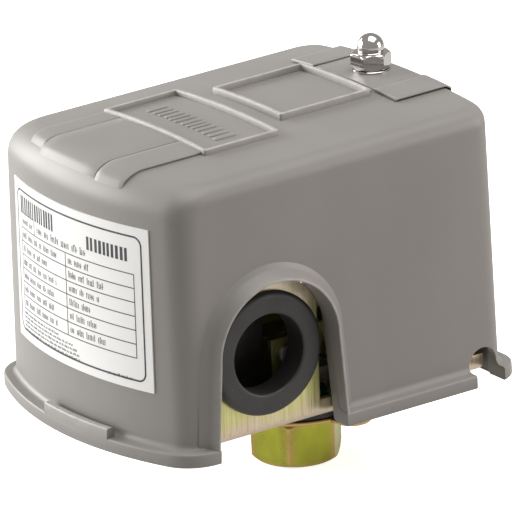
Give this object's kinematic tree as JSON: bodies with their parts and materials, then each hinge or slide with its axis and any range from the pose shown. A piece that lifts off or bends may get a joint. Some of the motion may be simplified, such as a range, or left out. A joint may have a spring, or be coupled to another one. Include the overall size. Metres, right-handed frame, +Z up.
{
  "type": "pressure switch",
  "caption": "Diaphragm pressure switch with a lift-off arched plastic cover, a female pipe port below and a grommeted cable entry on each side.",
  "frame": {"origin": "centre of the plan outline, at the level of the port's bottom face", "axes": "+Z up along the port's axis, +Y towards the back where the cap nut is, +X towards the right-hand cable entry"},
  "size_m": [0.0774, 0.0984, 0.0938],
  "materials": {
    "cover_grey": "semi-gloss moulded ABS",
    "label_white": "printed vinyl",
    "nickel_plate": "polished nickel",
    "yellow_zinc": "yellow chromate over zinc, drawn sheet",
    "olive_zinc": "iridescent yellow-green chromate",
    "rubber_black": "matt moulded rubber",
    "zinc_plate": "clear zinc",
    "spring_steel": "drawn spring wire",
    "phenolic_black": "compression moulded",
    "brass": "stamped",
    "copper": "stamped copper with silver pads",
    "nylon_natural": "moulded nylon",
    "fibre_sheet": "vulcanised fibre",
    "green_zinc": "green passivated"
  },
  "bodies": {
    "base": {"base_bracket": "yellow_zinc", "grommet_right": "rubber_black", "grommet_left": "rubber_black", "port_fitting": "olive_zinc", "flange_plate": "olive_zinc", "diaphragm": "rubber_black", "piston_guide": "phenolic_black", "range_stud": "zinc_plate", "differential_stud": "zinc_plate", "lever_pivot_pin": "zinc_plate", "lever_yoke": "yellow_zinc", "contact_block": "phenolic_black", "arc_shield": "fibre_sheet", "flange_screw_1": "zinc_plate", "terminal_plate_1": "brass", "terminal_screw_1": "zinc_plate", "flange_screw_2": "zinc_plate", "terminal_plate_2": "brass", "terminal_screw_2": "zinc_plate", "flange_screw_3": "zinc_plate", "terminal_plate_3": "brass", "terminal_screw_3": "zinc_plate", "flange_screw_4": "zinc_plate", "terminal_plate_4": "brass", "terminal_screw_4": "zinc_plate", "block_screw_left": "zinc_plate", "ground_screw_left": "green_zinc", "block_screw_right": "zinc_plate", "ground_screw_right": "green_zinc"},
    "cover": {"cover": "cover_grey", "rating_label": "label_white"},
    "cap_washer": {"cap_washer": "nickel_plate"},
    "cap_nut": {"cap_nut": "nickel_plate"},
    "range_seat": {"range_spring_seat": "zinc_plate"},
    "range_nut": {"range_nut": "zinc_plate"},
    "differential_seat": {"differential_spring_seat": "zinc_plate"},
    "differential_nut": {"differential_nut": "zinc_plate"},
    "lever": {"operating_lever": "yellow_zinc", "range_spring": "spring_steel", "differential_spring": "spring_steel"},
    "piston": {"piston": "nylon_natural"},
    "carrier": {"contact_carrier": "nylon_natural", "toggle_spring": "spring_steel", "contact_spring_left": "spring_steel", "contact_spring_right": "spring_steel"},
    "bridge_left": {"contact_bridge_left": "copper"},
    "bridge_right": {"contact_bridge_right": "copper"}
  },
  "joints": [
    {"name": "cover_lift", "type": "slide", "parent": "base", "child": "cover", "axis": [0, 0, 1], "range_m": [0, 0.085]},
    {"name": "cap_washer_rise", "type": "slide", "parent": "cover", "child": "cap_washer", "axis": [0, 0, 1], "range_m": [0, 0.0048]},
    {"name": "cap_nut_turn", "type": "hinge", "parent": "cap_washer", "child": "cap_nut", "pos_m": [0, 0.03765, 0.087], "axis": [0, 0, 1], "range_deg": [0, 2161]},
    {"name": "range_seat_slide", "type": "slide", "parent": "base", "child": "range_seat", "axis": [0, 0, -1], "range_m": [0, 0.005], "deforming": ["range_spring"]},
    {"name": "range_nut_turn", "type": "hinge", "parent": "range_seat", "child": "range_nut", "pos_m": [0, 0.03765, 0.066], "axis": [0, 0, -1], "range_deg": [0, 2251]},
    {"name": "differential_seat_slide", "type": "slide", "parent": "base", "child": "differential_seat", "axis": [0, 0, -1], "range_m": [0, 0.0035], "deforming": ["differential_spring"]},
    {"name": "differential_nut_turn", "type": "hinge", "parent": "differential_seat", "child": "differential_nut", "pos_m": [0.0155, 0.03125, 0.05], "axis": [0, 0, -1], "range_deg": [0, 1801]},
    {"name": "lever_tilt", "type": "hinge", "parent": "base", "child": "lever", "pos_m": [0, 0.00125, 0.031], "axis": [1, 0, 0], "range_deg": [0, 2]},
    {"name": "piston_lift", "type": "slide", "parent": "base", "child": "piston", "axis": [0, 0, 1], "range_m": [0, 0.00042]},
    {"name": "carrier_lift", "type": "slide", "parent": "base", "child": "carrier", "axis": [0, 0, 1], "range_m": [0, 0.0025]},
    {"name": "bridge_left_travel", "type": "slide", "parent": "carrier", "child": "bridge_left", "axis": [0, 0, 1], "range_m": [0, 0.0008], "deforming": ["contact_spring_left"]},
    {"name": "bridge_right_travel", "type": "slide", "parent": "carrier", "child": "bridge_right", "axis": [0, 0, 1], "range_m": [0, 0.0008], "deforming": ["contact_spring_right"]}
  ],
  "couplings": [
    {"joint": "cap_nut_turn", "follows": "cap_washer_rise", "rad_per_m": 7853.9},
    {"joint": "range_nut_turn", "follows": "range_seat_slide", "rad_per_m": 7853.9},
    {"joint": "differential_nut_turn", "follows": "differential_seat_slide", "rad_per_m": 8975.9},
    {"joint": "piston_lift", "follows": "lever_tilt", "m_per_rad": 0.012},
    {"joint": "carrier_lift", "follows": "lever_tilt", "m_per_rad": 0.0716}
  ]
}
